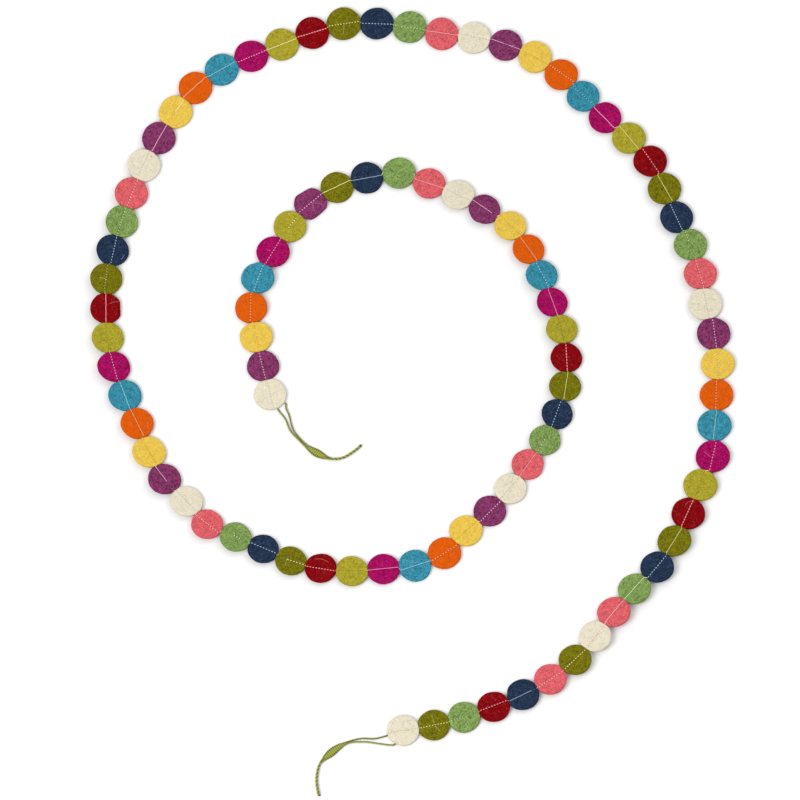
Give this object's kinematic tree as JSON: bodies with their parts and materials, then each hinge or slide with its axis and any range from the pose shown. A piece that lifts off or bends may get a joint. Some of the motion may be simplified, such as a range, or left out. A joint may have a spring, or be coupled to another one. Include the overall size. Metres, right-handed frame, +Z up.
{
  "type": "felt disc garland",
  "caption": "Garland of round wool felt discs sewn edge to edge on a thread, with a pair of ribbon tails at each end to hang it by, laid out in a loose spiral.",
  "frame": {"origin": "on the surface that the garland lies on, under the middle of the discs' outline", "axes": "+Z up from the surface; +Y along the spiral's longer width, away from the viewer; +X to the viewer's right"},
  "size_m": [0.5932, 0.7753, 0.0096],
  "materials": {
    "felt_cream": "matte wool felt, cream",
    "felt_purple": "matte wool felt, purple",
    "felt_yellow": "matte wool felt, yellow",
    "felt_orange": "matte wool felt, orange",
    "felt_turquoise": "matte wool felt, turquoise",
    "felt_magenta": "matte wool felt, magenta",
    "felt_chartreuse": "matte wool felt, chartreuse",
    "felt_red": "matte wool felt, red",
    "felt_olive": "matte wool felt, olive",
    "felt_navy": "matte wool felt, navy",
    "felt_green": "matte wool felt, green",
    "felt_pink": "matte wool felt, pink",
    "ribbon_green": "narrow woven ribbon, leaf green, soft sheen",
    "thread_white": "off-white sewing thread"
  },
  "bodies": {
    "root": {"discs_01_02": "felt_cream", "discs_03_04": "felt_yellow", "discs_05_06": "felt_turquoise", "discs_07_08": "felt_chartreuse", "discs_09_10": "felt_olive", "discs_11_12": "felt_green", "discs_13_14": "felt_cream", "discs_15_16": "felt_yellow", "discs_17_18": "felt_turquoise", "discs_19_20": "felt_chartreuse", "discs_21_22": "felt_olive", "discs_23_24": "felt_green", "discs_25_26": "felt_cream", "discs_27_28": "felt_yellow", "discs_29_30": "felt_turquoise", "discs_31_32": "felt_chartreuse", "discs_33_34": "felt_olive", "discs_35_36": "felt_green", "discs_37_38": "felt_cream", "discs_39_40": "felt_yellow", "discs_41_42": "felt_turquoise", "discs_43_44": "felt_chartreuse", "discs_45_46": "felt_olive", "discs_47_48": "felt_green", "discs_49_50": "felt_cream", "discs_51_52": "felt_yellow", "discs_53_54": "felt_turquoise", "discs_55_56": "felt_chartreuse", "discs_57_58": "felt_olive", "discs_59_60": "felt_green", "discs_61_62": "felt_cream", "discs_63_64": "felt_yellow", "discs_65_66": "felt_turquoise", "discs_67_68": "felt_chartreuse", "discs_69_70": "felt_olive", "discs_71_72": "felt_green", "discs_73_74": "felt_cream", "discs_75_76": "felt_yellow", "discs_77_78": "felt_turquoise", "discs_79_80": "felt_chartreuse", "discs_81_82": "felt_olive", "discs_83_84": "felt_green", "discs_85_86": "felt_cream", "discs_87_88": "felt_pink", "discs_89_90": "felt_red", "discs_91_92": "felt_olive", "tie_inner_left": "ribbon_green", "tie_inner_right": "ribbon_green", "tie_outer_left": "ribbon_green", "tie_outer_right": "ribbon_green"}
  },
  "joints": []
}
